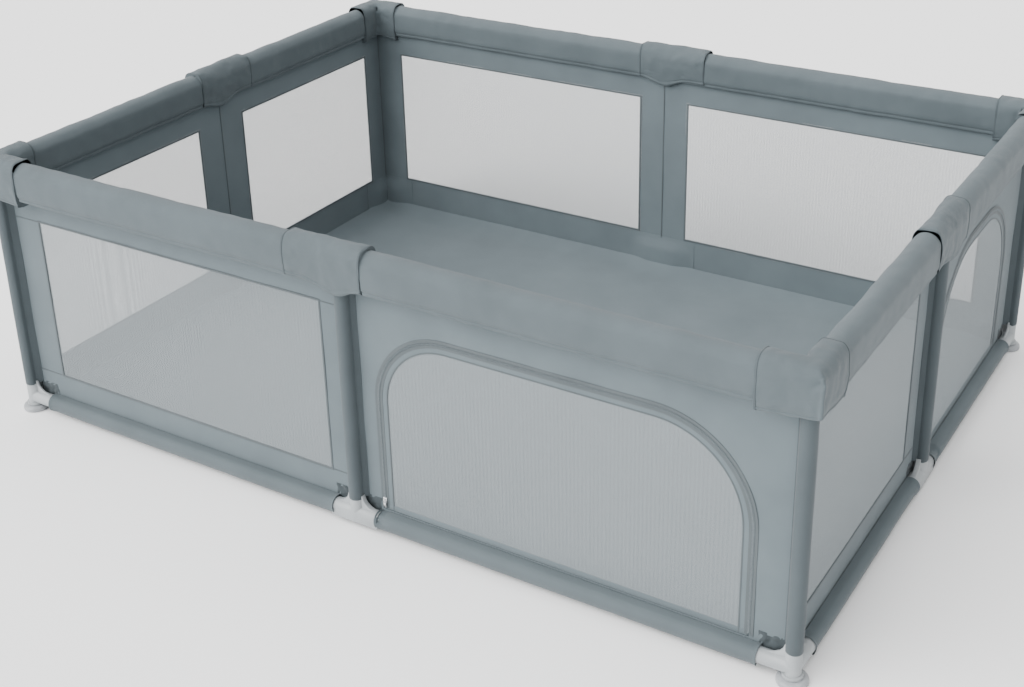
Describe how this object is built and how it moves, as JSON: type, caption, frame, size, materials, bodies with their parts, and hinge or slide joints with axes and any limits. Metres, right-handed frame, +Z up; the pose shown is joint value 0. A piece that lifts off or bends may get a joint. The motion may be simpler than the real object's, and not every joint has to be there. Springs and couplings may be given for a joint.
{
  "type": "playpen",
  "caption": "Rectangular baby playpen with a tube frame, padded top rails, mesh walls, zipped door flaps, a floor sheet and suction cup feet.",
  "frame": {"origin": "on the ground, at the middle of the rectangle that the corner posts make", "axes": "+X to the right along the long front side, -Y out through the front side, +Z up"},
  "size_m": [2.01, 1.502, 0.654],
  "materials": {
    "tube": "satin grey powder coat on thin steel tube",
    "connector": "moulded light grey plastic, satin",
    "cup": "soft milky translucent vinyl",
    "cloth": "tight plain-woven grey polyester cloth",
    "rail_cloth": "the same grey cloth over foam",
    "net": "fine pale grey warp-knit mesh",
    "zip_metal": "bright nickel zip slider"
  },
  "bodies": {
    "frame": {"post_front_right": "tube", "post_front_middle": "tube", "corner_foot_front_right": "connector", "middle_foot_front": "connector", "suction_cup_front_right": "cup", "top_corner_front_right": "connector", "top_tee_front": "connector", "bottom_tube_front_left": "tube", "bottom_tube_front_right": "tube", "top_tube_front_left": "tube", "top_tube_front_right": "tube", "rail_pad_front": "rail_cloth", "wall_front": "cloth", "post_back_right": "tube", "post_right_middle": "tube", "corner_foot_back_right": "connector", "middle_foot_right": "connector", "suction_cup_back_right": "cup", "top_corner_back_right": "connector", "top_tee_right": "connector", "bottom_tube_right_front": "tube", "bottom_tube_right_back": "tube", "top_tube_right_front": "tube", "top_tube_right_back": "tube", "rail_pad_right": "rail_cloth", "wall_right": "cloth", "post_back_left": "tube", "post_back_middle": "tube", "corner_foot_back_left": "connector", "middle_foot_back": "connector", "suction_cup_back_left": "cup", "top_corner_back_left": "connector", "top_tee_back": "connector", "bottom_tube_back_right": "tube", "bottom_tube_back_left": "tube", "top_tube_back_right": "tube", "top_tube_back_left": "tube", "rail_pad_back": "rail_cloth", "wall_back": "cloth", "post_front_left": "tube", "post_left_middle": "tube", "corner_foot_front_left": "connector", "middle_foot_left": "connector", "suction_cup_front_left": "cup", "top_corner_front_left": "connector", "top_tee_left": "connector", "bottom_tube_left_back": "tube", "bottom_tube_left_front": "tube", "top_tube_left_back": "tube", "top_tube_left_front": "tube", "rail_pad_left": "rail_cloth", "wall_left": "cloth", "floor_sheet": "cloth"},
    "front_door": {"door_flap_front": "net"},
    "front_zip_slider": {"zip_slider_front": "zip_metal"},
    "front_zip_pull": {"zip_pull_front": "zip_metal"},
    "right_door": {"door_flap_right": "net"},
    "right_zip_slider": {"zip_slider_right": "zip_metal"},
    "right_zip_pull": {"zip_pull_right": "zip_metal"}
  },
  "joints": [
    {"name": "front_door_fold", "type": "hinge", "parent": "frame", "child": "front_door", "pos_m": [0.472, -0.704, 0.053], "axis": [1, 0, 0], "range_deg": [0, 92]},
    {"name": "front_zip_slide", "type": "slide", "parent": "front_door", "child": "front_zip_slider", "axis": [0, 0, 1], "range_m": [0, 0.23]},
    {"name": "front_pull_swing", "type": "hinge", "parent": "front_zip_slider", "child": "front_zip_pull", "pos_m": [0.06525, -0.7088, 0.0735], "axis": [-1, 0, 0], "range_deg": [0, 150]},
    {"name": "right_door_fold", "type": "hinge", "parent": "frame", "child": "right_door", "pos_m": [0.958, 0.348, 0.053], "axis": [0, 1, 0], "range_deg": [0, 92]},
    {"name": "right_zip_slide", "type": "slide", "parent": "right_door", "child": "right_zip_slider", "axis": [0, 0, 1], "range_m": [0, 0.19]},
    {"name": "right_pull_swing", "type": "hinge", "parent": "right_zip_slider", "child": "right_zip_pull", "pos_m": [0.9628, 0.08525, 0.0735], "axis": [0, -1, 0], "range_deg": [0, 150]}
  ]
}
